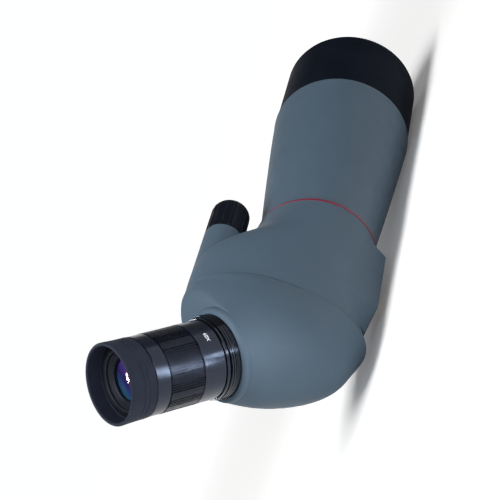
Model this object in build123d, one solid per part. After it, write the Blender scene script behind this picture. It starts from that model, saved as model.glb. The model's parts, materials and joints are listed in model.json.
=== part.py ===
from build123d import *
import math
import os

# Angled zoom spotting scope, 20-60x with a 60 mm objective.
# Millimetres.  The body is first laid out in "tube" coordinates: the optical axis of the
# objective tube is the Y axis, +Y towards the object being looked at, +Z up, +X to the
# right of the scope, origin at the centre of the grey tube's front end.  FRAME then moves
# everything so that the row's origin is the centre of the tripod foot's bottom face, on
# the axis of its tripod thread.

# ---------------------------------------------------------------- driving dimensions
THREAD_Y = -143.0          # tripod thread axis, behind the tube's front end
FOOT_Z = -35.7             # bottom face of the tripod foot
AXIS_UP = -FOOT_Z          # optical axis above the foot

TUBE_FRONT_R = 39.6
TUBE_REAR_R = 30.9
TUBE_LEN = 113.9
TUBE_SPIGOT_R = 29.38
TUBE_SPIGOT_END = -124.2
RED_RING_R = 32.75
HOOD_R = 39.1
HOOD_Y0, HOOD_Y1 = 0.5, 53.4
HOOD_IN_R = 36.6
BARREL_R = 35.5
BARREL_IN_R = 33.5
RUN = 0.05                 # radial clearance of every running fit

SEAM_Y = -183.5            # parting line between front housing and rear cover, at the bottom
SEAM_LEAN = 2.2            # the parting line leans back towards the top, degrees
SEAM_GAP = 0.5
WALL = 2.4

KNOB_Z = 48.2              # focus knob and lead screw axis
KNOB_R = 10.35
BOSS_FRONT = -134.5
KNOB_FRONT = -109.0
SCREW_R = 2.5

EYE_Y = -187.5             # the eyepiece axis crosses the tube axis here
EYE_TILT = 45.0            # eyepiece raised 45 degrees from the tube axis
PORT_S = 50.3              # port face, along the eyepiece axis
BARREL2_R = 14.9
GRIP_S0, GRIP_S1 = 70.2, 88.8
BAND_S1 = 96.5
CUP_S0, CUP_S1 = 96.9, 110.8

FRAME = Pos(0, -THREAD_Y, AXIS_UP)
c45 = math.cos(math.radians(EYE_TILT))
# eyepiece frame: local Z runs out along the eyepiece, local X is the scope's +X
EYE = Plane(origin=(0, EYE_Y, 0), x_dir=(1, 0, 0), z_dir=(0, -c45, c45)).location

os.makedirs("parts", exist_ok=True)


def save(name, *solids, place=FRAME):
    """Write one node: a single solid, or a group of identical ones."""
    placed = []
    for s in solids:
        for one in (place * s).solids():
            placed.append(one)
    if len(placed) == 1:
        export_step(placed[0], f"parts/{name}.step")
    else:
        export_step(Compound(children=placed), f"parts/{name}.step")
    print(name, len(placed))


# ---------------------------------------------------------------- small helpers
def turned_y(points):
    """Solid of revolution about Y from (radius, y) points."""
    prof = make_face(Polyline(*[(r, y) for r, y in points], close=True))
    return revolve(prof, Axis.Y, 360)


def turned_z(points):
    """Solid of revolution about Z from (radius, z) points."""
    prof = make_face(Polyline(*[(r, z) for r, z in points], close=True))
    return revolve(Plane.XZ * prof, Axis.Z, 360)


def cyl_y(y0, y1, r, x=0.0, z=0.0):
    a, b = min(y0, y1), max(y0, y1)
    return Pos(x, (a + b) / 2, z) * Rot(90, 0, 0) * Cylinder(r, b - a)


def ring_y(y0, y1, ro, ri, x=0.0, z=0.0):
    a, b = min(y0, y1), max(y0, y1)
    return cyl_y(a, b, ro, x, z) - cyl_y(a - 1, b + 1, ri, x, z)


def cyl_z(s0, s1, r, x=0.0, y=0.0):
    return Pos(x, y, (s0 + s1) / 2) * Cylinder(r, s1 - s0)


def ring_z(s0, s1, ro, ri):
    return cyl_z(s0, s1, ro) - cyl_z(s0 - 1, s1 + 1, ri)


def cyl_x(x0, x1, r, y=0.0, z=0.0):
    return Pos((x0 + x1) / 2, y, z) * Rot(0, 90, 0) * Cylinder(r, x1 - x0)


def lens_z(r_edge, r_clear, s0, s1, bulge0, bulge1):
    """Lens about Z: edge from s0 to s1, faces bulging outwards by bulge0 and bulge1
    (negative is concave), flat seats from r_clear to r_edge."""
    def mid(bulge, s, sign):
        if abs(bulge) < 1e-6:
            return None
        rad = (r_clear ** 2 + bulge ** 2) / (2 * abs(bulge))
        rm = r_clear / 2
        sag = rad - math.sqrt(rad * rad - rm * rm)
        top = s + sign * bulge
        return (rm, top - sign * math.copysign(sag, bulge))
    e = []
    m0, m1 = mid(bulge0, s0, -1), mid(bulge1, s1, 1)
    a0, a1 = (0, s0 - bulge0), (0, s1 + bulge1)
    b0, b1 = (r_clear, s0), (r_clear, s1)
    e.append(ThreePointArc(a0, m0, b0) if m0 else Line(a0, b0))
    e.append(Line(b0, (r_edge, s0)))
    e.append(Line((r_edge, s0), (r_edge, s1)))
    e.append(Line((r_edge, s1), b1))
    e.append(ThreePointArc(b1, m1, a1) if m1 else Line(b1, a1))
    e.append(Line(a1, a0))
    return revolve(Plane.XZ * make_face(e), Axis.Z, 360)


def lens_y(*args):
    # the lens helper turns about Z; this lays it along Y
    return Rot(-90, 0, 0) * lens_z(*args)


def lerp(x, xs, ys):
    for i in range(len(xs) - 1):
        a, b = xs[i], xs[i + 1]
        if min(a, b) <= x <= max(a, b):
            return ys[i] + (ys[i + 1] - ys[i]) * (x - a) / (b - a)
    return ys[-1]


def outline(a_top, a_bot, half, n_top, start=0.0, count=40):
    """Closed curve with a taller upper half: points (x, up) round the widest level."""
    pts = []
    for i in range(count):
        t = 2 * math.pi * i / count + math.radians(start)
        c, s = math.cos(t), math.sin(t)
        n = n_top if s >= 0 else 2.0
        a = a_top if s >= 0 else a_bot
        pts.append((half * math.copysign(abs(c) ** (2 / n), c),
                    a * math.copysign(abs(s) ** (2 / n), s)))
    return pts


def wire_of(points):
    return Wire([Edge.make_spline([Vector(*p) for p in points], periodic=True)])


# ---------------------------------------------------------------- body sections
# front housing: at each y the top, bottom, half width and level of the widest point
FY = [-116.2, -124, -132, -140, -148, -156, -166, -176, SEAM_Y, -189.0]
FT = [33.0, 34.3, 36.9, 42.0, 50.2, 55.8, 58.3, 58.6, 58.5, 58.6]
FB = [-32.4, -32.4, -32.5, -32.6, -32.7, -32.8, -32.9, -33.0, -33.0, -33.0]
FW = [32.4, 31.8, 31.15, 30.5, 29.85, 29.2, 28.4, 27.6, 27.0, 27.45]
FC = [0.0, 2.3, 4.7, 7.1, 9.4, 11.1, 12.9, 14.7, 16.0, 16.4]
FN = [2.0, 2.0, 2.0, 2.0, 2.0, 2.05, 2.1, 2.1, 2.1, 2.1]


def front_wire(y, inset=0.0, start=0.0):
    t, b, w, c, n = (lerp(y, FY, v) for v in (FT, FB, FW, FC, FN))
    pts = outline(t - c - inset, c - b - inset, w - inset, n, start)
    return wire_of([(x, y, z + c) for x, z in pts])


# rear cover: sections on planes that swing about a pivot line above the seam, from the
# seam (0 degrees) round to the port of the eyepiece (45 degrees)
PIV_Y, PIV_Z = SEAM_Y, 70.4
RT = [0, 8, 16, 24, 32, 37, 41, 43.5, 45]
RI = [11.9, 12.0, 12.3, 12.8, 13.8, 15.3, 18.0, 21.8, 29.0]
RO = [103.4, 103.95, 101.5, 95.8, 88.6, 84.0, 80.1, 77.6, 76.1]
RW = [27.0, 27.7, 27.6, 27.25, 26.3, 25.2, 24.3, 23.8, 23.5]
RC = [54.4, 55.0, 56.0, 56.5, 56.0, 55.0, 53.9, 53.1, 52.6]
RN = [2.1, 2.1, 2.1, 2.05, 2.0, 2.0, 2.0, 2.0, 2.0]


def rear_wire(th, inset=0.0):
    i, o, w, c, n = (lerp(th, RT, v) for v in (RI, RO, RW, RC, RN))
    pts = outline(c - i - inset, o - c - inset, w - inset, n)
    a = math.radians(th)
    out = []
    for x, up in pts:
        rho = c - up
        out.append((x, PIV_Y - rho * math.sin(a), PIV_Z - rho * math.cos(a)))
    return wire_of(out)


def slab(y0, y1, half=120):
    a, b = min(y0, y1), max(y0, y1)
    return Pos(0, (a + b) / 2, 0) * Box(2 * half, b - a, 2 * half)


def seam_slab(d0, d1, half=120):
    """Slab parallel to the leaning parting plane, from d0 to d1 in front of it."""
    return Pos(0, SEAM_Y, -33.0) * Rot(SEAM_LEAN, 0, 0) * Pos(0, (d0 + d1) / 2, 0) * Box(2 * half, d1 - d0, 2 * half)


# ================================================================ objective end
outer = [(TUBE_SPIGOT_R, TUBE_SPIGOT_END), (TUBE_SPIGOT_R, -TUBE_LEN), (TUBE_REAR_R, -TUBE_LEN)]
skin = Spline((TUBE_REAR_R, -TUBE_LEN), (31.05, -110), (31.6, -101), (32.55, -90), (33.45, -80),
              (34.4, -69), (35.5, -56), (36.65, -42), (37.75, -28), (38.75, -14), (39.35, -4))
inner = [(39.6, -2.4), (TUBE_FRONT_R, -0.5), (39.2, 0.0), (36.02, 0.0), (36.02, -20.0), (35.5, -20.0),
         (35.2, -28), (34.1, -42), (33.0, -56), (31.9, -69), (30.95, -80), (30.05, -90),
         (29.1, -101), (27.5, -108), (27.0, -112), (27.0, TUBE_SPIGOT_END),
         (TUBE_SPIGOT_R, TUBE_SPIGOT_END)]
prof = make_face([Polyline(*outer), skin, Line((39.35, -4), inner[0]), Polyline(*inner)])
main_tube = revolve(prof, Axis.Y, 360)
save("main_tube", main_tube)


def tube_inner_r(y):
    ys = [-20.0, -28, -42, -56, -69, -80, -90, -101]
    rs = [35.5, 35.2, 34.1, 33.0, 31.9, 30.95, 30.05, 29.1]
    return lerp(y, ys, rs)


save("tube_baffles", *[ring_y(y, y + 1.0, tube_inner_r(y) - 0.02, r)
                       for y, r in ((-41, 25.5), (-68, 22.8), (-95, 20.5))])

# barrel that carries the objective and guides the sunshade
barrel = turned_y([(36.0, -20.0), (36.0, -1.0), (BARREL_R, -0.4), (BARREL_R, 39.6), (34.6, 39.6),
                   (34.6, 42.4), (BARREL_R, 42.4), (BARREL_R, 46.6), (35.0, 47.2), (34.2, 47.2),
                   (BARREL_IN_R, 46.4), (BARREL_IN_R, 18.0), (32.2, 18.0), (32.2, -6.0),
                   (34.4, -20.0)])
save("objective_barrel", barrel)
save("objective_oring", ring_y(-21.4, -20.05, 35.4, 34.0))

cell = turned_y([(BARREL_IN_R, 18.0), (BARREL_IN_R, 38.4), (31.9, 38.4), (31.9, 34.0), (31.0, 34.0),
                 (31.0, 22.5), (29.6, 22.5), (29.6, 18.0)])
save("objective_cell", cell)
save("objective_crown_lens", lens_y(31.0, 29.8, 31.0, 34.0, 4.0, 3.2))
save("objective_spacer", ring_y(29.62, 30.98, 31.0, 30.2))
save("objective_flint_lens", lens_y(31.0, 29.8, 22.5, 29.6, -0.6, -4.15))
retainer = turned_y([(31.9, 34.02), (31.9, 37.4), (30.6, 37.4), (29.95, 36.6), (29.95, 34.02)])
for k in range(4):
    a = 90 * k + 45
    retainer -= Rot(0, a, 0) * Pos(31.0, 37.2, 0) * Box(3.0, 1.2, 1.2)
save("objective_retaining_ring", retainer)

# sunshade: slides forward over the barrel
hood = turned_y([(HOOD_R - 0.35, HOOD_Y0), (HOOD_R, HOOD_Y0 + 0.35), (HOOD_R, 51.6), (HOOD_R - 0.35, 52.7),
                 (HOOD_R - 1.1, HOOD_Y1), (37.3, HOOD_Y1), (36.9, 53.0), (HOOD_IN_R, 52.2),
                 (HOOD_IN_R, 3.2), (BARREL_R + RUN, 3.2), (BARREL_R + RUN, HOOD_Y0)])
save("sunshade", hood)
save("sunshade_friction_ring", ring_y(39.75, 42.25, HOOD_IN_R - RUN, 34.6))
save("sunshade_stop_ring", ring_y(43.4, 45.6, 36.3, BARREL_R))

# accent ring and the black seal in front of it, clamped between tube and housing
save("accent_ring", turned_y([(TUBE_SPIGOT_R, -116.2), (32.55, -116.2), (RED_RING_R, -116.0),
                              (RED_RING_R, -115.0), (32.55, -114.8), (TUBE_SPIGOT_R, -114.8)]))
save("tube_seal_ring", ring_y(-114.8, -TUBE_LEN, 30.5, TUBE_SPIGOT_R))

# ================================================================ front housing
# the outer skin's closing line runs along the bottom, under the foot
shell = Solid(Solid.make_loft([front_wire(y, 0.0, -90.0) for y in FY]).wrapped)
boss = cyl_y(BOSS_FRONT, -176, KNOB_R, 0, KNOB_Z)
# foot: flat underneath, its sides running up tangent to the flanks of the housing, chamfered
# in front and fading out towards the seam; sections as (y, bottom, half width, corner radius)
FOOT = [(-116.2, -29.0, 14.6, 0.8), (-120.9, -35.2, 15.0, 1.0), (-131.0, -35.2, 15.0, 1.0),
        (-142.0, -35.2, 15.0, 1.0), (-152.0, -35.2, 15.0, 1.0), (-162.2, -35.2, 15.0, 1.0),
        (-167.5, -34.15, 13.0, 1.0), (-173.0, -33.15, 10.4, 0.9), (-178.0, -32.4, 8.0, 0.8)]


def foot_wire(y, zb, hw, r):
    b, w, c = (lerp(y, FY, v) for v in (FB, FW, FC))
    w, a = w - 0.2, c - b - 0.2
    # the side leaves the corner and touches the slightly smaller flank ellipse
    kx, kz = hw / w, (zb - c) / a
    big = math.hypot(kx, kz)
    t = math.atan2(kz, kx) + (math.acos(1 / big) if big > 1 else 0.35)
    tx, tz = w * math.cos(t), c + a * math.sin(t)
    dx, dz = tx - hw, tz - zb
    dl = math.hypot(dx, dz)
    ang = math.atan2(dz, dx)                     # lean of the side
    cut = r * math.tan((math.pi - (math.pi - ang)) / 2) if ang < math.pi else r
    p0 = (hw - cut, zb)
    p1 = (hw + cut * dx / dl, zb + cut * dz / dl)
    mid = ((p0[0] + p1[0]) / 2 * 0.5 + hw * 0.5, (p0[1] + p1[1]) / 2 * 0.5 + zb * 0.5)
    right = [p0, mid, p1, (tx, tz)]
    left = [(-x, z) for x, z in reversed(right)]
    return Wire(Polyline(*[(x, y, z) for x, z in right + left], close=True).edges())


foot = Solid(Solid.make_loft([foot_wire(*f) for f in FOOT], ruled=True).wrapped)
body = shell + boss + foot
cavity = Solid(Solid.make_loft([front_wire(y, WALL) for y in
                                (-127.5, -132, -140, -148, -156, -166, -176, SEAM_Y, -189.0)]).wrapped)
BULK0, BULK1 = -178.9, -175.4            # bulkhead that carries the prism and the screws
bulkhead = slab(BULK0, BULK1) - cyl_y(BULK0 - 1, BULK1 + 1, 18.4)
COVER_SCREWS = [(22.2, 18.0, 3.0), (-22.2, 18.0, 3.0), (0.0, -28.2, 2.5)]
lugs = [cyl_y(-192.0, BULK0, r, x, z) for x, z, r in COVER_SCREWS]
room = cavity - bulkhead
for lug in lugs:
    room -= lug
body -= room
body -= cyl_y(-110, TUBE_SPIGOT_END, TUBE_SPIGOT_R + 0.02)
body -= cyl_y(-120, -128, 19.5)
body -= cyl_y(-137.0, BULK1, 8.0, 0, KNOB_Z)
body -= Pos(0, (-141.5 + BULK1) / 2, 37) * Box(10.4, 33.9, 22)    # slot for the carriage's arm
body -= cyl_y(-130, -138, 4.0, 0, KNOB_Z)                    # bushing seat
body -= cyl_y(BULK1 - 2.0, BULK1 + 1, SCREW_R + RUN, 0, KNOB_Z)   # rear journal
for x, z, r in COVER_SCREWS:
    body -= cyl_y(-192.0, BULK1 + 1, 1.35, x, z)
HOLDER_SCREWS = [(17.6, 12.0), (-17.6, 12.0), (16.7, -11.5), (-16.7, -11.5)]
for x, z in HOLDER_SCREWS:
    body -= cyl_y(BULK0 - 1, BULK0 + 2.6, 0.95, x, z)
RODS = [(22.0, 0.0), (-22.0, 0.0)]
for x, z in RODS:
    body -= cyl_y(-125.4, BULK1 + 1, 1.27, x, z) & slab(-128.5, -125.4)
    body -= cyl_y(BULK1 - 1.6, BULK1 + 1, 1.27, x, z)
# open the seam, and the foot's recesses
body -= seam_slab(-40.0, SEAM_GAP / 2)
insert_pad = Pos(0, THREAD_Y, -31.6) * Cylinder(9.0, 7.1)     # boss round the insert, inside
body += insert_pad
body -= Pos(0, THREAD_Y, -32.45) * Cylinder(6.0, 6.7)
pad_pocket = Pos(0, -141.4, -34.95) * Box(25.4, 37.0, 0.9)
body -= pad_pocket
front_housing = body.solids().sort_by(SortBy.VOLUME)[-1]
print("housing pieces", len(body.solids()))
save("front_housing", front_housing)

insert = turned_z([(0, 0), (6.0, 0), (6.0, 6.5), (0, 6.5)])
insert = Pos(0, THREAD_Y, FOOT_Z) * insert
insert -= Pos(0, THREAD_Y, FOOT_Z) * cyl_z(-1, 20, 2.55)
save("tripod_insert", insert)

pad = Pos(0, -141.4, -35.1) * Box(25.2, 36.8, 1.2)
pad = fillet(pad.edges().filter_by(Axis.Z), 2.0)
pad -= Pos(0, THREAD_Y, -35) * Cylinder(6.3, 6)
save("foot_pad", pad)

gasket = Solid(Solid.make_loft([wire_of([(x, SEAM_Y + 4, z) for x, z in
                                         [(p.X, p.Z) for p in [front_wire(SEAM_Y, 0.45).edges()[0] @ (k / 40)
                                                               for k in range(40)]]]),
                                wire_of([(x, SEAM_Y - 8, z) for x, z in
                                         [(p.X, p.Z) for p in [front_wire(SEAM_Y, 0.45).edges()[0] @ (k / 40)
                                                               for k in range(40)]]])], ruled=True).wrapped)
gasket_in = Solid(Solid.make_loft([wire_of([(p.X, SEAM_Y + s, p.Z) for p in
                                            [front_wire(SEAM_Y, WALL - 0.1).edges()[0] @ (k / 40)
                                             for k in range(40)]]) for s in (5, -9)], ruled=True).wrapped)
gasket = (gasket - gasket_in) & seam_slab(-SEAM_GAP / 2, SEAM_GAP / 2)
save("seam_gasket", gasket)

# ================================================================ rear cover
cover = Solid(Solid.make_loft([rear_wire(t) for t in RT]).wrapped)
hollow = Solid(Solid.make_loft([rear_wire(t, WALL + 0.1) for t in (0, 8, 16, 24, 32, 37)]).wrapped)
for x, z, r in COVER_SCREWS:
    hollow -= cyl_y(-191.0, SEAM_Y + 1, r, x, z)
cover -= hollow
# raised lip round the port, where the eyepiece is clamped
cover += EYE * turned_z([(16.5, 45.8), (23.4, 45.8), (23.42, 47.0), (23.25, 48.3), (22.7, 49.4), (21.9, 50.05),
                         (21.2, PORT_S), (16.5, PORT_S)])
cover -= EYE * cyl_z(20, 60, 17.0)
cover -= EYE * ring_z(PORT_S - 1.2, PORT_S + 2, 19.2, 17.6)
for x, z, r in COVER_SCREWS:
    cover -= cyl_y(-189.5, SEAM_Y + 1, 1.2, x, z)
cover -= seam_slab(-SEAM_GAP / 2, 60.0)
print("cover pieces", len(cover.solids()))
save("rear_cover", cover.solids().sort_by(SortBy.VOLUME)[-1])

cover_screws = []
for x, z, r in COVER_SCREWS:
    head = cyl_y(BULK1 + 0.0, BULK1 + 2.0, 2.0, x, z) - cyl_y(BULK1 + 0.9, BULK1 + 3, 1.1, x, z)
    cover_screws.append(head + cyl_y(-188.8, BULK1 + 0.5, 1.15, x, z))
save("cover_screws", *cover_screws)

# ================================================================ erecting prism
AP = (-181.7, 14.0)
LEG = 39.6
P2 = (AP[0], AP[1] - LEG)
P3 = (AP[0] - LEG * c45, AP[1] - LEG * c45)
tri = make_face(Polyline(AP, P2, P3, close=True))
prism = Pos(-13.5, 0, 0) * extrude(Plane.YZ * tri, 27.0)
# roof faces: two planes at 90 degrees meeting on the base's centre line
by, bz = P3[0] - P2[0], P3[1] - P2[1]
bl = math.hypot(by, bz)
by, bz = by / bl, bz / bl
ridge = Plane(origin=(0, (P2[0] + P3[0]) / 2, (P2[1] + P3[1]) / 2), x_dir=(0, by, bz),
              z_dir=(0, bz, -by))
if ridge.z_dir.Z > 0:
    ridge = Plane(origin=ridge.origin, x_dir=ridge.x_dir, z_dir=(0, -bz, by))
for side in (1, -1):
    cut = ridge.location * Rot(45 * side, 0, 0) * Pos(0, 0, 30) * Box(120, 120, 60)
    prism -= cut
save("erecting_prism", prism)

inner_section = Solid(Solid.make_loft([front_wire(y, 3.6) for y in (-170, -176, SEAM_Y)]).wrapped)
plate = Pos(0, (AP[0] + BULK0) / 2, -0.5) * Box(38.4, BULK0 - AP[0], 50.0)
plate = plate & inner_section
cheek_side = make_face(Polyline((-180.0, 8.0), (-180.0, -21.5), (-205.0, -12.5), (-195.0, -1.0), close=True))
for sx in (1, -1):
    plate += Pos(sx * 14.2 - 0.6, 0, 0) * extrude(Plane.YZ * cheek_side, 1.2)
plate -= cyl_y(-185, -170, 12.8)
for x, z, r in COVER_SCREWS:
    plate -= cyl_y(-200, -170, r + 0.4, x, z)
for x, z in HOLDER_SCREWS:
    plate -= cyl_y(-200, -170, 1.1, x, z)
CL = Plane(origin=(0, -204.3, -8.6), x_dir=(1, 0, 0), z_dir=(0, -c45, c45)).location
for sx in (1, -1):
    plate -= CL * (Pos(sx * 14.2, 0, -5.0) * Rot(0, 90, 0) * Cylinder(0.85, 4))
save("prism_holder", plate)

clip = CL * (Pos(0, 0, 0.25) * Box(30.9, 5.0, 0.5))
for sx in (1, -1):
    tab = CL * (Pos(sx * 15.15, 0, -4.0) * Box(0.6, 5.0, 9.0))
    clip += tab
    clip -= CL * (Pos(sx * 15.15, 0, -5.0) * Rot(0, 90, 0) * Cylinder(0.9, 3))
save("prism_clip", clip)
clip_screws = []
for sx in (1, -1):
    s = CL * (Pos(sx * 16.02, 0, -5.0) * Rot(0, 90, 0) * Cylinder(1.5, 1.1)
              + Pos(sx * 14.85, 0, -5.0) * Rot(0, 90, 0) * Cylinder(0.8, 2.2))
    clip_screws.append(s)
save("prism_clip_screws", *clip_screws)
save("prism_holder_screws", *[cyl_y(AP[0] - 1.5, AP[0], 1.45, x, z) + cyl_y(AP[0] - 0.5, BULK0 + 2.4, 0.9, x, z)
                              for x, z in HOLDER_SCREWS])

# ================================================================ focusing
grip = turned_y([(6.5, -134.0), (9.6, -134.0), (KNOB_R, -133.4), (KNOB_R, -113.6), (10.15, -112.0),
                 (9.5, -110.6), (8.4, -109.5), (7.0, KNOB_FRONT), (5.0, KNOB_FRONT), (5.0, -113.0),
                 (6.5, -113.0)])
for k in range(18):
    grip -= Rot(0, 20.0 * k, 0) * Pos(11.05, -121.5, 0) * Rot(90, 0, 0) * Cylinder(1.15, 30)
grip = Pos(0, 0, KNOB_Z) * grip
save("focus_knob_grip", grip)
hub = ring_y(-134.1, -113.0, 6.5, SCREW_R, 0, KNOB_Z)
hub -= Pos(0, 0, KNOB_Z) * cyl_x(2.0, 7.0, 1.0, -128.0, 0)
save("focus_knob_hub", hub)
save("focus_knob_setscrew", Pos(0, 0, KNOB_Z) * cyl_x(2.55, 6.2, 0.98, -128.0, 0))
save("focus_knob_cap", turned_y([(0, -113.0), (4.98, -113.0), (4.98, -109.2), (4.5, -108.9), (0, -108.7)]).moved(Pos(0, 0, KNOB_Z)))
save("focus_shaft", cyl_y(-177.0, -113.0, SCREW_R, 0, KNOB_Z) - ring_y(-138.6, -137.9, 4, 2.1, 0, KNOB_Z))
save("focus_circlip", ring_y(-138.55, -137.95, 4.2, 2.1, 0, KNOB_Z) - Pos(0, -138.2, KNOB_Z + 3) * Box(1.6, 3, 4))
save("focus_bushing", ring_y(-137.6, -134.4, 4.0, SCREW_R + RUN, 0, KNOB_Z))

NUT0, NUT1 = -155.0, -147.0
save("focus_nut", ring_y(NUT0, NUT1, 5.0, SCREW_R + RUN, 0, KNOB_Z))
carr = ring_y(-154.0, -148.0, 6.9, 5.0, 0, KNOB_Z)
carr += Pos(0, -151.0, 29.8) * Box(8.0, 6.0, 24.6)
carr += cyl_y(-154.0, -148.0, 18.6)
for x, z in RODS:
    carr += cyl_y(-154.0, -148.0, 3.0, x, z)
    carr += Pos(x * 0.86, -151.0, 0) * Box(6.0, 6.0, 4.0)
carr -= cyl_y(-160.0, -149.0 + 2.0, 15.6) & slab(-152.5, -146)
carr -= cyl_y(-160.0, -140.0, 14.2)
for x, z in RODS:
    carr -= cyl_y(-160.0, -140.0, 1.25 + RUN, x, z)
carr -= cyl_y(-160, -140, 5.0, 0, KNOB_Z)
save("focus_carriage", carr)
save("focusing_lens", Pos(0, -152.5, 0) * lens_y(15.6, 14.2, 0.0, 3.2, -0.9, 1.6))
save("focusing_lens_ring", ring_y(-149.25, -148.0, 15.6, 14.2))
save("guide_rods", *[cyl_y(BULK1 - 1.4, -125.6, 1.25, x, z) for x, z in RODS])

# ================================================================ eyepiece
mount = turned_z([(14.9, 41.0), (16.95, 41.0), (16.95, PORT_S + 0.05), (20.7, PORT_S + 0.05), (20.7, 53.1), (20.4, 53.4),
                  (20.4, 54.2), (14.9, 54.2)])
for k in range(3):
    s = 50.9 + 0.75 * k
    mount -= ring_z(s, s + 0.3, 22.0, 20.4)
save("eyepiece_mount_ring", mount, place=FRAME * EYE)
save("eyepiece_oring", ring_z(PORT_S - 1.15, PORT_S, 19.1, 17.7), place=FRAME * EYE)
lock = turned_z([(14.9, 54.25), (20.0, 54.25), (20.2, 54.45), (20.2, 55.2), (19.9, 55.5), (19.2, 55.6),
                 (19.2, 55.95), (19.7, 56.05), (19.85, 56.25), (19.85, 57.3), (19.6, 57.65), (14.9, 57.65)])
save("eyepiece_lock_ring", lock, place=FRAME * EYE)

tube2 = turned_z([(13.4, 41.0), (14.9, 41.0), (14.9, 103.1), (14.6, 103.4), (13.7, 103.4), (13.4, 103.1)])
tube2 -= Pos(14.0, 0, 60.5) * Box(4.0, 2.12, 11.2)     # front cell slot
tube2 -= Pos(-14.0, 0, 81.0) * Box(4.0, 2.12, 8.2)     # rear cell slot
save("eyepiece_barrel", tube2, place=FRAME * EYE)
save("field_stop", ring_z(46.8, 48.3, 13.4, 9.2), place=FRAME * EYE)


def cell_ring(s0, s1, r_lens, r_clear):
    seat = s1 - 1.6
    body = turned_z([(r_clear, s0), (13.35, s0), (13.35, s1), (r_lens, s1), (r_lens, s0 + 1.6), (r_clear, s0 + 1.6)])
    return body


save("zoom_front_cell", cell_ring(52.0, 60.0, 11.6, 10.4), place=FRAME * EYE)
save("zoom_front_lens", lens_z(11.6, 10.4, 53.6, 57.4, 1.4, 1.1), place=FRAME * EYE)
save("zoom_rear_cell", cell_ring(80.0, 88.0, 11.6, 10.4), place=FRAME * EYE)
save("zoom_rear_lens", lens_z(11.6, 10.4, 81.6, 84.6, 1.6, 1.2), place=FRAME * EYE)
# each follower pin is pressed into its cell and runs in the barrel's slot
save("zoom_front_pin", cyl_x(13.36, 14.6, 1.0).moved(Pos(0, 0, 56.0)), place=FRAME * EYE)
save("zoom_rear_pin", cyl_x(-14.6, -13.36, 1.0).moved(Pos(0, 0, 84.0)), place=FRAME * EYE)

sleeve = turned_z([(BARREL2_R + RUN, 58.0), (19.0, 58.0), (19.2, 58.2), (19.2, 69.7), (19.0, 70.0),
                   (17.0, 70.0), (17.0, 89.0), (18.75, 89.0), (18.95, 89.3), (19.0, 96.2), (18.8, BAND_S1),
                   (BARREL2_R + RUN, BAND_S1)])
save("zoom_sleeve", sleeve, place=FRAME * EYE)
g = turned_z([(17.0, GRIP_S0), (18.9, GRIP_S0), (19.15, GRIP_S0 + 0.35), (19.1, GRIP_S1 - 0.35), (18.85, GRIP_S1),
              (17.0, GRIP_S1)])
# broad pads parted by groups of four fine grooves
GROUPS = 14
for k in range(GROUPS):
    for j in (-1.5, -0.5, 0.5, 1.5):
        a = -41.5 + 360.0 / GROUPS * k + 3.7 * j
        g -= Rot(0, 0, a) * Pos(19.2, 0, 79.5) * Box(1.7, 0.62, 22)
g = g.solids().sort_by(SortBy.VOLUME)[-1]
save("zoom_grip", g, place=FRAME * EYE)

eye_cell = turned_z([(10.4, 91.0), (13.4, 91.0), (13.4, 102.2), (12.2, 102.2), (11.7, 101.6), (10.9, 101.6),
                     (10.2, 100.9), (10.2, 99.2), (10.9, 99.2), (10.9, 92.6), (10.4, 92.6)])
save("eye_lens_cell", eye_cell, place=FRAME * EYE)
save("eye_lens", lens_z(10.9, 10.2, 96.2, 99.2, 0.3, 1.2), place=FRAME * EYE)
save("eye_lens_rear", lens_z(10.9, 10.2, 92.6, 94.4, 0.4, 0.9), place=FRAME * EYE)
save("eye_lens_spacer", ring_z(94.42, 96.18, 10.9, 10.2), place=FRAME * EYE)

save("eyecup_cam_ring", ring_z(96.8, 98.2, 18.35, BARREL2_R + RUN), place=FRAME * EYE)
core = turned_z([(BARREL2_R + RUN, 98.4), (17.4, 98.4), (17.4, 103.1), (16.7, 103.1), (16.55, 103.5), (15.3, 103.5),
                 (BARREL2_R + RUN, 103.1)])
save("eyecup_core", core, place=FRAME * EYE)
cup = turned_z([(18.7, CUP_S0), (18.95, CUP_S0), (19.12, CUP_S0 + 0.3), (19.14, 100.9), (19.0, 101.1), (19.14, 101.3),
                (19.17, 103.4), (19.03, 103.6), (19.18, 103.8), (19.4, 109.4), (19.38, 110.2), (19.1, 110.65),
                (18.7, CUP_S1), (18.3, CUP_S1), (17.95, 110.6), (17.75, 110.1), (17.65, 103.3), (17.4, 103.1),
                (17.4, 98.4), (18.7, 98.4)])
save("eyecup", cup, place=FRAME * EYE)
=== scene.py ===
import bpy
import bmesh
import json
import math
from mathutils import Matrix, Vector


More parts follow.
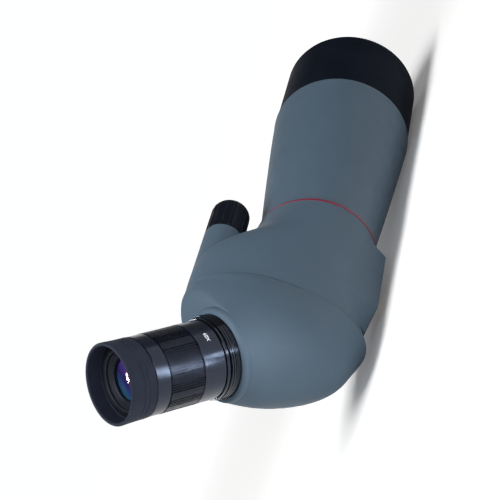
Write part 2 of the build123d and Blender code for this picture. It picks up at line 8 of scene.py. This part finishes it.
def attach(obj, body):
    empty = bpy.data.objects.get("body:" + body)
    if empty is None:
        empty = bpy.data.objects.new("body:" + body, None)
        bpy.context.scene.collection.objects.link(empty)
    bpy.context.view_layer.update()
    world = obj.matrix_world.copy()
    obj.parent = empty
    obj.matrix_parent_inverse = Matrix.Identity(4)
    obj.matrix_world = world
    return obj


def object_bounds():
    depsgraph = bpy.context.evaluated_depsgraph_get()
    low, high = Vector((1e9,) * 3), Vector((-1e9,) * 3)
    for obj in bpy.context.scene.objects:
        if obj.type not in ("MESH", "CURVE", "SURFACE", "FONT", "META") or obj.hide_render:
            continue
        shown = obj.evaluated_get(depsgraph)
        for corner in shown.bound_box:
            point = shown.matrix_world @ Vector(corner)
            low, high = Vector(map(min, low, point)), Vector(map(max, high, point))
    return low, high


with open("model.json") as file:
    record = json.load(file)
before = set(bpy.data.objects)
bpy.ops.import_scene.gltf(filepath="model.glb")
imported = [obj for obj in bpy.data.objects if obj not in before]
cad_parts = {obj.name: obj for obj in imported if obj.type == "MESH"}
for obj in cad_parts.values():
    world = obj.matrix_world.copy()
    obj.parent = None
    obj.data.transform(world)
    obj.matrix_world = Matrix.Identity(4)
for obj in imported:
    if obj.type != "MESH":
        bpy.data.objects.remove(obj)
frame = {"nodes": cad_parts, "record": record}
CAD_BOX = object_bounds()
N = frame["nodes"]
scene = bpy.context.scene

# ------------------------------------------------------------------ camera
AX = 0.0357                  # height of the tube axis above the row origin
CAM = Vector((0.482647, -0.634014, 0.073515 + AX))
CX = Vector((0.29774, 0.164989, -0.940282)).normalized()
CY = Vector((0.742599, 0.578931, 0.336728)).normalized()
CZ = Vector((0.599915, -0.798509, 0.04985)).normalized()
cam_data = bpy.data.cameras.new("camera")
cam = bpy.data.objects.new("camera", cam_data)
scene.collection.objects.link(cam)
cam.matrix_world = Matrix(((CX.x, CY.x, CZ.x, CAM.x), (CX.y, CY.y, CZ.y, CAM.y),
                           (CX.z, CY.z, CZ.z, CAM.z), (0, 0, 0, 1)))
cam_data.sensor_width = 36.0
cam_data.sensor_fit = "HORIZONTAL"
cam_data.lens = 111.368
cam_data.clip_start = 0.05
cam_data.clip_end = 20.0
cam_data.dof.use_dof = False
scene.camera = cam


# ------------------------------------------------------------------ node helpers
def new_mat(name):
    m = bpy.data.materials.new(name)
    m.use_nodes = True
    nt = m.node_tree
    bsdf = nt.nodes.get("Principled BSDF")
    return m, nt, bsdf


def put(nt, kind, **kw):
    n = nt.nodes.new(kind)
    for k, v in kw.items():
        setattr(n, k, v)
    return n


def ramp(nt, fac, stops):
    r = nt.nodes.new("ShaderNodeValToRGB")
    el = r.color_ramp.elements
    while len(el) < len(stops):
        el.new(0.5)
    for e, (p, c) in zip(el, stops):
        e.position = p
        e.color = (*c, 1.0) if len(c) == 3 else c
    nt.links.new(fac, r.inputs[0])
    return r.outputs[0]


def coords(nt, scale=(1, 1, 1), rot=(0, 0, 0), loc=(0, 0, 0)):
    tc = nt.nodes.new("ShaderNodeTexCoord")
    mp = nt.nodes.new("ShaderNodeMapping")
    mp.inputs["Scale"].default_value = scale
    mp.inputs["Rotation"].default_value = rot
    mp.inputs["Location"].default_value = loc
    nt.links.new(tc.outputs["Object"], mp.inputs[0])
    return mp.outputs[0]


def noise(nt, vec, scale, detail=3.0, rough=0.5):
    n = nt.nodes.new("ShaderNodeTexNoise")
    n.inputs["Scale"].default_value = scale
    n.inputs["Detail"].default_value = detail
    n.inputs["Roughness"].default_value = rough
    nt.links.new(vec, n.inputs["Vector"])
    return n.outputs[0]


def math_node(nt, op, a, b=None, clamp=False):
    n = nt.nodes.new("ShaderNodeMath")
    n.operation = op
    n.use_clamp = clamp
    for i, v in enumerate((a, b)):
        if v is None:
            continue
        if isinstance(v, (int, float)):
            n.inputs[i].default_value = v
        else:
            nt.links.new(v, n.inputs[i])
    return n.outputs[0]


def bump(nt, height, strength, distance, chain=None):
    b = nt.nodes.new("ShaderNodeBump")
    b.inputs["Strength"].default_value = strength
    b.inputs["Distance"].default_value = distance
    nt.links.new(height, b.inputs["Height"])
    if chain is not None:
        nt.links.new(chain, b.inputs["Normal"])
    return b.outputs[0]


def mix_col(nt, fac, a, b, blend="MIX"):
    n = nt.nodes.new("ShaderNodeMix")
    n.data_type = "RGBA"
    n.blend_type = blend
    if isinstance(fac, (int, float)):
        n.inputs[0].default_value = fac
    else:
        nt.links.new(fac, n.inputs[0])
    for idx, v in ((6, a), (7, b)):
        if isinstance(v, tuple):
            n.inputs[idx].default_value = (*v, 1.0)
        else:
            nt.links.new(v, n.inputs[idx])
    return n.outputs[2]


def map_range(nt, v, a, b, c, d):
    n = nt.nodes.new("ShaderNodeMapRange")
    for i, x in enumerate((a, b, c, d)):
        n.inputs[i + 1].default_value = x
    nt.links.new(v, n.inputs[0])
    return n.outputs[0]


# ------------------------------------------------------------------ materials
COOL = (0.60, 0.72, 1.0)      # the black parts reflect a little blue
WHITE = (1.0, 1.0, 1.0)


def soft_paint(name, base, light, rough=0.52, grain=1900.0):
    """Soft-touch coating: fine pebble grain, faint mottling, lighter specks on the raised grain."""
    m, nt, b = new_mat(name)
    v = coords(nt)
    mottle = noise(nt, v, 34.0, 4.0, 0.55)
    fine = noise(nt, v, grain, 2.0, 0.5)
    col = mix_col(nt, map_range(nt, mottle, 0.35, 0.65, 0.0, 1.0), base, light)
    speck = map_range(nt, fine, 0.62, 0.78, 0.0, 0.22)
    col = mix_col(nt, speck, col, tuple(min(1.0, c * 1.5) for c in light))
    nt.links.new(col, b.inputs["Base Color"])
    r = map_range(nt, noise(nt, v, 90.0, 3.0), 0.3, 0.7, rough - 0.05, rough + 0.06)
    nt.links.new(r, b.inputs["Roughness"])
    n1 = bump(nt, fine, 0.22, 0.00012)
    n2 = bump(nt, noise(nt, v, 420.0, 2.0), 0.10, 0.0002, n1)
    nt.links.new(n2, b.inputs["Normal"])
    b.inputs["Specular IOR Level"].default_value = 0.13
    return m


def satin_black(name, base, rough, axis="y", pitch=0.0, coat=0.0, grain=2600.0, lathe=0.06, spec=0.5, tint=COOL):
    """Black anodised or moulded skin; with a pitch it also carries fine turning marks."""
    m, nt, b = new_mat(name)
    v = coords(nt)
    mottle = noise(nt, v, 60.0, 4.0)
    col = mix_col(nt, map_range(nt, mottle, 0.35, 0.7, 0.0, 1.0), base, tuple(c * 1.35 for c in base))
    nt.links.new(col, b.inputs["Base Color"])
    r = map_range(nt, noise(nt, v, 240.0, 3.0), 0.3, 0.7, rough - 0.04, rough + 0.05)
    nt.links.new(r, b.inputs["Roughness"])
    nrm = bump(nt, noise(nt, v, grain, 2.0), 0.10, 0.00006)
    if pitch:
        w = nt.nodes.new("ShaderNodeTexWave")
        w.wave_type = "BANDS"
        w.bands_direction = "Y" if axis == "y" else "Z"
        w.inputs["Scale"].default_value = 1.0 / pitch / 20.0
        w.inputs["Distortion"].default_value = 0.3
        w.inputs["Detail"].default_value = 2.0
        if axis == "eye":
            vv = coords(nt, rot=(math.radians(-45), 0, 0))
        else:
            vv = v
        nt.links.new(vv, w.inputs["Vector"])
        nrm = bump(nt, w.outputs[1], lathe, 0.00008, nrm)
    nt.links.new(nrm, b.inputs["Normal"])
    b.inputs["Specular IOR Level"].default_value = spec
    b.inputs["Specular Tint"].default_value = (*tint, 1.0)
    b.inputs["Coat Weight"].default_value = coat
    b.inputs["Coat Roughness"].default_value = 0.12
    return m


def rubber(name, base, rough=0.62, grain=1500.0, depth=0.18, sheen=0.0, spec=0.12, tint=COOL):
    m, nt, b = new_mat(name)
    v = coords(nt)
    col = mix_col(nt, map_range(nt, noise(nt, v, 45.0, 4.0), 0.35, 0.7, 0.0, 1.0), base,
                  tuple(c * 1.4 for c in base))
    nt.links.new(col, b.inputs["Base Color"])
    r = map_range(nt, noise(nt, v, 200.0, 3.0), 0.3, 0.7, rough - 0.06, rough + 0.08)
    nt.links.new(r, b.inputs["Roughness"])
    nrm = bump(nt, noise(nt, v, grain, 3.0, 0.6), depth, 0.00012)
    nt.links.new(nrm, b.inputs["Normal"])
    b.inputs["Specular IOR Level"].default_value = spec
    b.inputs["Specular Tint"].default_value = (*tint, 1.0)
    b.inputs["Sheen Weight"].default_value = sheen
    b.inputs["Sheen Roughness"].default_value = 0.5
    return m


def metal(name, base, rough, grain=900.0, metallic=1.0):
    m, nt, b = new_mat(name)
    v = coords(nt)
    col = mix_col(nt, map_range(nt, noise(nt, v, 120.0, 4.0), 0.3, 0.7, 0.0, 1.0), base,
                  tuple(c * 0.78 for c in base))
    nt.links.new(col, b.inputs["Base Color"])
    r = map_range(nt, noise(nt, v, 400.0, 3.0), 0.3, 0.7, rough - 0.06, rough + 0.08)
    nt.links.new(r, b.inputs["Roughness"])
    nt.links.new(bump(nt, noise(nt, v, grain, 2.0), 0.12, 0.0001), b.inputs["Normal"])
    b.inputs["Metallic"].default_value = metallic
    return m


def coated_glass(name, tint, film, rough=0.015):
    m, nt, b = new_mat(name)
    v = coords(nt)
    b.inputs["Base Color"].default_value = (*tint, 1.0)
    b.inputs["Transmission Weight"].default_value = 1.0
    b.inputs["IOR"].default_value = 1.56
    b.inputs["Thin Film Thickness"].default_value = film
    b.inputs["Thin Film IOR"].default_value = 1.38
    r = map_range(nt, noise(nt, v, 160.0, 3.0), 0.45, 0.8, rough, rough + 0.03)
    nt.links.new(r, b.inputs["Roughness"])
    return m


def ink(name, base):
    """Printed white lettering, a little worn."""
    m, nt, b = new_mat(name)
    v = coords(nt)
    wear = map_range(nt, noise(nt, v, 2600.0, 3.0), 0.58, 0.72, 0.0, 0.35)
    nt.links.new(mix_col(nt, wear, base, tuple(c * 0.35 for c in base)), b.inputs["Base Color"])
    r = map_range(nt, noise(nt, v, 900.0, 2.0), 0.3, 0.7, 0.42, 0.55)
    nt.links.new(r, b.inputs["Roughness"])
    b.inputs["Specular IOR Level"].default_value = 0.3
    return m


def coated_lens_painted_reflection(name, deep, violet_reflection, axis_point, rough=0.03):
    """Coated element over a dark barrel, its colour a painted reflection of the coating: violet in the middle, going
    blue and green at the rim on the -X side.
    """
    m, nt, b = new_mat(name)
    v = coords(nt, rot=(math.radians(-45), 0, 0))
    sep = nt.nodes.new("ShaderNodeSeparateXYZ")
    nt.links.new(coords(nt), sep.inputs[0])
    side = math_node(nt, "ADD", sep.outputs["X"], math_node(nt, "MULTIPLY", noise(nt, v, 90.0, 2.0), 0.002))
    # painted reflection: colour ramps along X from green-blue at -X (the fringe by the glint) through dark blue to
    # violet
    painted_reflection_hue = ramp(nt, map_range(nt, side, -0.0095, 0.0105, 0.0, 1.0),
               ((0.0, (0.010, 0.060, 0.085)), (0.22, (0.012, 0.034, 0.105)), (0.42, deep), (0.70, violet_reflection), (1.0, deep)))
    nt.links.new(painted_reflection_hue, b.inputs["Base Color"])
    r = map_range(nt, noise(nt, v, 500.0, 2.0), 0.4, 0.8, rough, rough + 0.03)
    nt.links.new(r, b.inputs["Roughness"])
    b.inputs["Specular IOR Level"].default_value = 1.0
    b.inputs["Specular Tint"].default_value = (0.62, 0.45, 1.0, 1.0)
    b.inputs["Thin Film Thickness"].default_value = 330.0
    b.inputs["Thin Film IOR"].default_value = 1.38
    b.inputs["Coat Weight"].default_value = 0.35
    b.inputs["Coat Roughness"].default_value = 0.03
    return m


M = {}
M["body_paint"] = soft_paint("body_paint", (0.060, 0.091, 0.124), (0.064, 0.096, 0.131))
M["hood_black"] = satin_black("hood_black", (0.0048, 0.0066, 0.0118), 0.46, spec=0.008)
M["accent_red"] = satin_black("accent_red", (0.135, 0.004, 0.020), 0.38, coat=0.1, spec=0.25, tint=WHITE)
M["inner_black"] = satin_black("inner_black", (0.006, 0.006, 0.008), 0.50, axis="y", pitch=0.0006, lathe=0.15, spec=0.3)
M["seal_rubber"] = rubber("seal_rubber", (0.006, 0.006, 0.007), 0.7, sheen=0.0)
M["knob_rubber"] = rubber("knob_rubber", (0.0042, 0.0052, 0.0088), 0.42, spec=0.07)
M["knob_metal"] = satin_black("knob_metal", (0.008, 0.009, 0.012), 0.33, spec=0.3)
M["eyepiece_gloss"] = satin_black("eyepiece_gloss", (0.0022, 0.0024, 0.0036), 0.13, axis="eye", pitch=0.0003, coat=0.0, spec=0.42)
M["eyepiece_satin"] = satin_black("eyepiece_satin", (0.0045, 0.0056, 0.0100), 0.19, axis="eye", pitch=0.00025, coat=0.0, spec=0.40)
M["grip_rubber"] = rubber("grip_rubber", (0.0036, 0.0040, 0.0072), 0.27, depth=0.04, spec=0.19)
M["cup_rubber"] = rubber("cup_rubber", (0.0140, 0.0165, 0.0260), 0.60, sheen=0.0, spec=0.08)
M["cup_plastic"] = satin_black("cup_plastic", (0.0030, 0.0033, 0.0048), 0.42, spec=0.16)
M["holder_metal"] = metal("holder_metal", (0.10, 0.10, 0.105), 0.5)
M["brass"] = metal("brass", (0.72, 0.50, 0.20), 0.3)
M["steel"] = metal("steel", (0.55, 0.55, 0.56), 0.28)
M["spring_steel"] = metal("spring_steel", (0.42, 0.43, 0.45), 0.3)
M["screw_steel"] = metal("screw_steel", (0.10, 0.10, 0.11), 0.35)
M["objective_glass"] = coated_glass("objective_glass", (0.93, 0.98, 0.96), 520.0)
M["lens_glass"] = coated_glass("lens_glass", (0.95, 0.94, 1.0), 420.0)
M["prism_glass"] = coated_glass("prism_glass", (0.96, 0.98, 0.97), 0.0)

slot_of = {s["node"]: s["material_slot"] for s in frame["record"]["subparts"]}
for name, ob in N.items():
    mat = M[slot_of[name]]
    if not ob.material_slots:
        ob.data.materials.append(mat)
    for sl in ob.material_slots:
        sl.material = mat

# the eye lens carries its own broadband coating; its violet, blue and green reflection is painted into the lens colour
lens_mat = coated_lens_painted_reflection("eye_lens_coating_painted_reflection", (0.012, 0.010, 0.060), (0.040, 0.019, 0.125), None)
for sl in N["eye_lens"].material_slots:
    sl.material = lens_mat

# ------------------------------------------------------------------ eyepiece lettering
EO = Vector((0.0, -0.0445, AX))
ED = Vector((0.0, -math.sqrt(0.5), math.sqrt(0.5)))
EV = Vector((0.0, math.sqrt(0.5), math.sqrt(0.5)))
EX = Vector((1.0, 0.0, 0.0))


def eye_point(s, r, a):
    """A point on the eyepiece: s along it, r from its axis, a round it from +X towards EV (metres, radians)."""
    return EO + ED * s + EX * (r * math.cos(a)) + EV * (r * math.sin(a))


def wrapped_text(name, body, size, s_mid, a_mid, radius, lift=0.00004):
    """Lettering as a thin mesh wrapped round the eyepiece, reading along its circumference."""
    cu = bpy.data.curves.new(name, "FONT")
    cu.body = body
    cu.size = size
    cu.align_x = "CENTER"
    cu.align_y = "CENTER"
    cu.resolution_u = 4
    tmp = bpy.data.objects.new(name + "_t", cu)
    scene.collection.objects.link(tmp)
    bpy.context.view_layer.update()
    dg = bpy.context.evaluated_depsgraph_get()
    me = bpy.data.meshes.new_from_object(tmp.evaluated_get(dg))
    bpy.data.objects.remove(tmp)
    bm = bmesh.new()
    bm.from_mesh(me)
    bmesh.ops.triangulate(bm, faces=bm.faces[:])
    bmesh.ops.subdivide_edges(bm, edges=[e for e in bm.edges if e.calc_length() > 0.0005], cuts=2)
    for vtx in bm.verts:
        x, y = vtx.co.x, vtx.co.y
        a = a_mid + TEXT_DIR * x / radius
        vtx.co = eye_point(s_mid + TEXT_UP * y, radius + lift, a)
    bmesh.ops.recalc_face_normals(bm, faces=bm.faces[:])
    for fce in bm.faces:
        c = fce.calc_center_median() - EO
        out = c - ED * c.dot(ED)
        if fce.normal.dot(out) < 0:
            fce.normal_flip()
    bm.to_mesh(me)
    bm.free()
    ob = bpy.data.objects.new(name, me)
    scene.collection.objects.link(ob)
    ob.data.materials.clear()
    ob.data.materials.append(INK)
    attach(ob, "zoom_ring")
    return ob


INK = ink("dial_ink", (0.80, 0.82, 0.86))
TEXT_DIR, TEXT_UP = -1.0, -1.0
SLEEVE_R = 0.0192
for label, deg in (("60X", -6.8), ("50", 40.0), ("40", 64.0), ("30", 88.0), ("20", 113.0)):
    wrapped_text("zoom_mark_" + label, label, 0.0027, 0.0636, math.radians(deg), SLEEVE_R)

# ------------------------------------------------------------------ floor and light
lo, hi = CAD_BOX
floor_z = float(lo[2]) - 0.0002
bpy.ops.mesh.primitive_plane_add(size=14.0, location=(0, 0, floor_z))
floor = bpy.context.object
floor.name = "floor"
fm, fnt, fb = new_mat("floor_pale_painted_glow")
fv = coords(fnt)
fb.inputs["Roughness"].default_value = 0.9
fb.inputs["Specular IOR Level"].default_value = 0.0
fcol = mix_col(fnt, map_range(fnt, noise(fnt, fv, 3.0, 2.0), 0.3, 0.7, 0.0, 1.0), (0.93, 0.93, 0.93), (0.95, 0.95, 0.95))
fnt.links.new(fcol, fb.inputs["Base Color"])
# painted light: the floor glows though it is no lamp, dim within 0.3 m of the object as a painted shadow pool and full
# by 1.2 m
fb.inputs["Emission Color"].default_value = (1.0, 1.0, 1.0, 1.0)
glow_distance = fnt.nodes.new("ShaderNodeVectorMath")
glow_distance.operation = "LENGTH"
fnt.links.new(fv, glow_distance.inputs[0])
fnt.links.new(map_range(fnt, glow_distance.outputs["Value"], 0.30, 1.20, 0.10, 0.90), fb.inputs["Emission Strength"])
floor.data.materials.append(fm)

# studio: a white cyclorama behind the object, softly darker on the other side
world = bpy.data.worlds.new("studio")
scene.world = world
world.use_nodes = True
wt = world.node_tree
bg = wt.nodes["Background"]
tc = wt.nodes.new("ShaderNodeTexCoord")
dot = wt.nodes.new("ShaderNodeVectorMath")
dot.operation = "DOT_PRODUCT"
dot.inputs[1].default_value = (-0.6, 0.8, 0.0)
wt.links.new(tc.outputs["Generated"], dot.inputs[0])
mr = wt.nodes.new("ShaderNodeMapRange")
mr.interpolation_type = "SMOOTHSTEP"
for i, x in enumerate((0.80, 0.955, 0.14, 1.01)):
    mr.inputs[i + 1].default_value = x
wt.links.new(dot.outputs["Value"], mr.inputs[0])
wt.links.new(mr.outputs[0], bg.inputs[1])
bg.inputs[0].default_value = (0.985, 0.993, 1.0, 1.0)


def area(name, at, target, size, power, color=(1, 1, 1)):
    d = bpy.data.lights.new(name, "AREA")
    d.shape = "RECTANGLE"
    d.size, d.size_y = size
    d.energy = power
    d.color = color
    o = bpy.data.objects.new(name, d)
    o.location = at
    o.rotation_euler = (Vector(target) - Vector(at)).to_track_quat("-Z", "Y").to_euler()
    scene.collection.objects.link(o)
    return o


def from_cam(x, y, z):
    """A point given as right, up and towards the camera, from the object's middle."""
    return Vector((0.0, -0.04, 0.05)) + CX * x + CY * y + CZ * z


area("key", from_cam(-0.88, 0.12, 0.56), (0, -0.03, 0.05), (0.45, 0.60), 15.5, (1.0, 0.995, 0.985))
area("front", from_cam(-0.15, 0.22, 1.05), (0, -0.05, 0.05), (0.5, 0.5), 2.6, (0.97, 0.985, 1.0))

# a small lamp seen as the bright spot on the eye lens
spark = area("spark", EO + ED * 0.09 + Vector((-0.665, -0.005, 0.745)) * 0.55, EO + ED * 0.09, (0.026, 0.080), 0.004)
spark.data.spread = math.radians(9.0)

# low narrow strips beside the eyepiece draw soft lines of light along its turned black rings
def low_strip(name, x, y, aim, along, size, power):
    o = area(name, (0, 0, 0), (0, 0, -1), size, power, (0.88, 0.94, 1.0))
    at = Vector((x, y, floor_z + 0.006))
    z = (at - (EO + ED * aim)).normalized()
    d = Vector(along)
    d = (d - z * d.dot(z)).normalized()
    c = d.cross(z)
    o.matrix_world = Matrix(((c.x, d.x, z.x, at.x), (c.y, d.y, z.y, at.y), (c.z, d.z, z.z, at.z), (0, 0, 0, 1)))
    o.data.spread = math.radians(45.0)
    return o


low_strip("strip_wide", 0.064, -0.116, 0.080, (1.0, -0.04, 0.0), (0.020, 0.13), 0.0150)
low_strip("strip_near", 0.080, -0.0885, 0.056, (1.0, 0.0, 0.0), (0.014, 0.016), 0.0011)

scene.view_settings.view_transform = "Standard"
